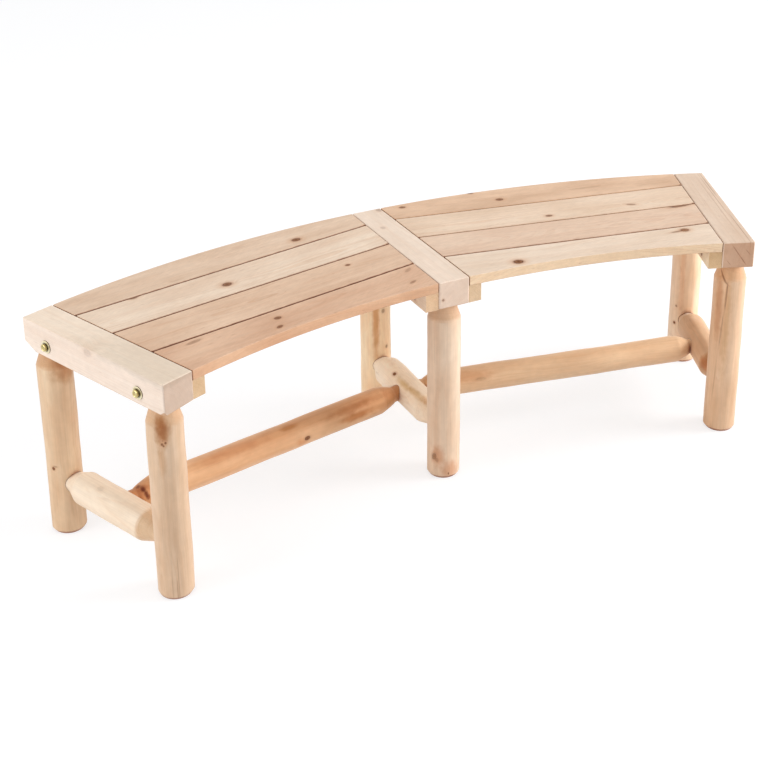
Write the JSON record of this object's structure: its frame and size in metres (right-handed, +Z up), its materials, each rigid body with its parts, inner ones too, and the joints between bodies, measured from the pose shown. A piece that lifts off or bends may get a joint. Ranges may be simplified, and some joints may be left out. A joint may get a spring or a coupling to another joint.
{
  "type": "log bench",
  "caption": "Curved backless bench of peeled logs: two slatted plank seat panels between sawn crossbars, on round log legs joined by log stretchers.",
  "frame": {"origin": "on the floor, at the middle of the bench's footprint", "axes": "+X along the bench to the right, +Y towards the convex back edge, +Z up"},
  "size_m": [1.521, 0.5094, 0.44],
  "materials": {
    "crossbar_timber": "sawn and sanded, unfinished",
    "seat_board": "planed, unfinished",
    "cleat_batten": "sawn, unfinished",
    "leg_log": "peeled, unfinished",
    "stretcher_log": "peeled, unfinished",
    "yellow_zinc": "yellow zinc plated",
    "screw_steel": "zinc plated"
  },
  "bodies": {
    "root": {"bolt_nuts": "yellow_zinc", "bolt_washers": "yellow_zinc", "cleat_screws": "screw_steel", "left_back_leg": "leg_log", "left_cross_stretcher": "stretcher_log", "left_crossbar": "crossbar_timber", "left_end_cleat": "cleat_batten", "left_front_leg": "leg_log", "left_long_stretcher": "stretcher_log", "left_middle_cleat": "cleat_batten", "left_seat_board_1": "seat_board", "left_seat_board_2": "seat_board", "left_seat_board_3": "seat_board", "left_seat_board_4": "seat_board", "leg_tenon_screws": "screw_steel", "middle_back_leg": "leg_log", "middle_bolts": "yellow_zinc", "middle_cross_stretcher": "stretcher_log", "middle_crossbar": "crossbar_timber", "middle_front_leg": "leg_log", "outer_bolts": "yellow_zinc", "right_back_leg": "leg_log", "right_cross_stretcher": "stretcher_log", "right_crossbar": "crossbar_timber", "right_end_cleat": "cleat_batten", "right_front_leg": "leg_log", "right_long_stretcher": "stretcher_log", "right_middle_cleat": "cleat_batten", "right_seat_board_1": "seat_board", "right_seat_board_2": "seat_board", "right_seat_board_3": "seat_board", "right_seat_board_4": "seat_board"}
  },
  "joints": []
}
